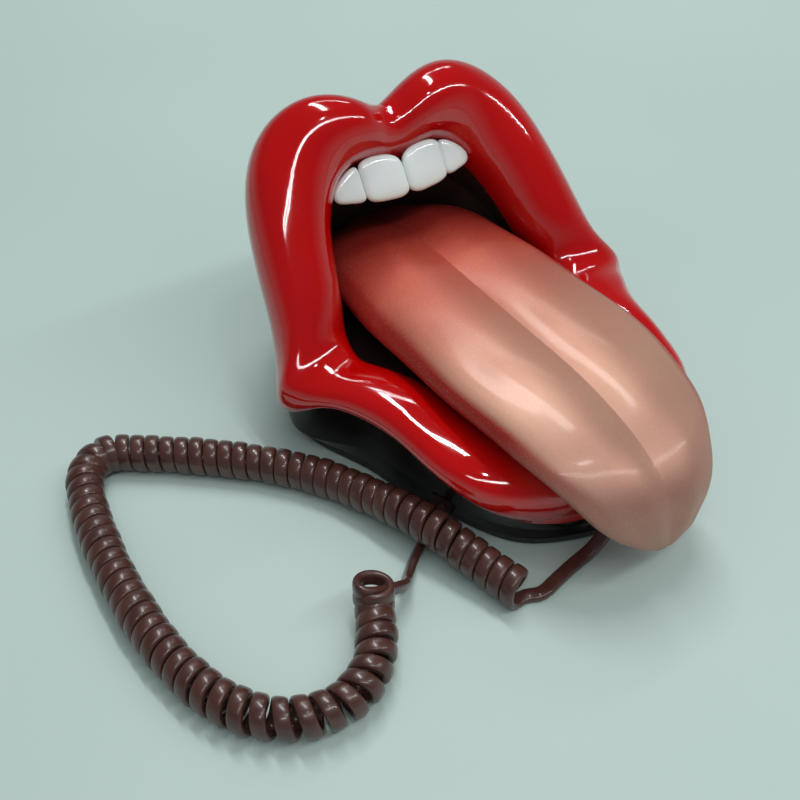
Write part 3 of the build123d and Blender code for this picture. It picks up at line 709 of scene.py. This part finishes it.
# Tongue: pearl lacquer, airbrushed from red at the root and the flanks to gold and pink
ROOT_Y = 0.075
TIP_Y = -0.095
pearl = Finish(
    "tongue_pearl",
    Metallic=0.35, Specular_IOR_Level=0.7, Coat_Weight=0.22, Coat_Roughness=0.12,
)
pearl.shader.inputs["Specular Tint"].default_value = (1, 0.9, 0.74, 1)
y = pearl.add("ShaderNodeSeparateXYZ", {0: pearl.place}).outputs[1]
cloud = pearl.spread(pearl.noise(28, 3), 0.3, 0.7, -0.006, 0.006)
length_way = pearl.spread(pearl.math("ADD", y, cloud), ROOT_Y, TIP_Y)
STOPS = [
    (0.0, (0.2, 0.008, 0.007)),
    (0.12, (0.36, 0.018, 0.013)),
    (0.26, (0.5, 0.06, 0.034)),
    (0.4, (0.5, 0.125, 0.08)),
    (0.55, (0.53, 0.22, 0.15)),
    (0.75, (0.58, 0.31, 0.22)),
    (0.9, (0.52, 0.27, 0.2)),
    (1.0, (0.42, 0.2, 0.15)),
]
body_colour = pearl.ramp(length_way, STOPS)
normal = pearl.add("ShaderNodeNewGeometry").outputs["Normal"]
facing = pearl.add("ShaderNodeSeparateXYZ", {0: normal}).outputs[0]
# Red where the surface faces sideways, less so towards the tip
flank = pearl.spread(pearl.math("ABSOLUTE", facing, 0.0), 0.38, 0.62, smooth=True)
reach = pearl.spread(y, -0.092, -0.055, 0.1, 1.0)
flank = pearl.math("MULTIPLY", flank, reach)
sprayed = pearl.mix(flank, body_colour, (0.36, 0.016, 0.011))
fleck = pearl.spread(pearl.noise(3200, 1), 0.62, 0.75, 0, 0.25)
pearl.colour(pearl.mix(fleck, sprayed, (0.9, 0.75, 0.6)))
pearl.rough(pearl.spread(pearl.noise(60, 3), 0.3, 0.7, 0.42, 0.5))
pearl.bump(pearl.noise(70, 2), 0.03 * MM)

NODE_FINISH = {
    "lips_shell": red, "rear_housing": black, "mouth_tray": cavity, "base_plate": matt,
    "rubber_feet": rubber, "base_screws": steel, "tray_screws": steel, "handset_screws": steel,
    "ballast_plate": iron, "handset_weight": iron, "base_board": green, "keypad_board": green,
    "hook_plunger": black, "hook_spring": steel, "ringer_switch": black, "dial_mode_switch": black,
    "tongue_bottom": pearl, "key_mat": silicone, "receiver_gasket": silicone,
    "microphone_boot": silicone, "receiver_capsule": can, "microphone_capsule": can,
    "cord_plug_base": plug, "cord_plug_handset": plug,
}
for name, node in nodes.items():
    chosen = NODE_FINISH.get(name, keycap if name.startswith("key_") else matt)
    for slot in node.material_slots:
        slot.material = chosen.material
cord.data.materials.append(jacket.material)
teeth.data.materials.append(white.material)
tongue.data.materials.append(pearl.material)
for piece in marks:
    piece.data.materials.append(ink.material)

# ---------------------------------------------------------------- floor and light
FLOOR_HALF = 12
corners = ((-1, -1), (1, -1), (1, 1), (-1, 1))
floor_corners = [(x * FLOOR_HALF, y * FLOOR_HALF, 0) for x, y in corners]
floor = make_object("floor", floor_corners, [(0, 1, 2, 3)], smooth=False)
paper = plastic("paper", (0.505, 0.635, 0.6), (0.475, 0.605, 0.565), (0.5, 0.6), 3)
floor.data.materials.append(paper.material)

world = bpy.data.worlds.new("world")
world.use_nodes = True
background = world.node_tree.nodes["Background"]
direction = world.node_tree.nodes.new("ShaderNodeTexCoord")
parts = world.node_tree.nodes.new("ShaderNodeSeparateXYZ")
sky = world.node_tree.nodes.new("ShaderNodeValToRGB")
# The room's pale walls round a dimmer ceiling
sky.color_ramp.elements[0].color = (0.33, 0.39, 0.39, 1)
sky.color_ramp.elements[1].color = (0.055, 0.065, 0.075, 1)
sky.color_ramp.elements[1].position = 0.45
world.node_tree.links.new(direction.outputs["Generated"], parts.inputs[0])
world.node_tree.links.new(parts.outputs[2], sky.inputs[0])
world.node_tree.links.new(sky.outputs[0], background.inputs["Color"])
background.inputs["Strength"].default_value = 1.0
scene.world = world


def lamp(name, place, size, power):
    """A rectangular lamp that shines straight down."""
    data = bpy.data.lights.new(name, "AREA")
    data.shape = "RECTANGLE"
    data.size, data.size_y = size
    data.energy = power
    made = bpy.data.objects.new(name, data)
    made.location = place
    scene.collection.objects.link(made)


# Ceiling fixtures, each a pair of long tubes: two across the room and one along it
TUBE_WIDTH = 0.014
TUBE_GAP = 0.08
CEILING = 1.65
for name, y, x, length, power in (("rear", -0.94, 0.75, 3.5, 10), ("front", 1.27, 1.1, 1.6, 3)):
    for k in (0, 1):
        lamp(f"{name}_tube_{k}", (x, y + TUBE_GAP * k, CEILING), (length, TUBE_WIDTH), power)
for k in (0, 1):
    lamp(f"middle_tube_{k}", (0.27 + TUBE_GAP * k, 0.66, CEILING), (TUBE_WIDTH, 1.15), 6)
lamp("spot", (0.08, -0.5, 1.6), (0.04, 0.04), 0.8)
fill = bpy.data.lights.new("fill", "SUN")
fill.energy = 0.7
fill.angle = radians(110)
fill_lamp = bpy.data.objects.new("fill", fill)
fill_lamp.rotation_euler = (radians(12), radians(-14), 0)
fill_lamp.visible_glossy = False
scene.collection.objects.link(fill_lamp)

scene.view_settings.view_transform = "Standard"
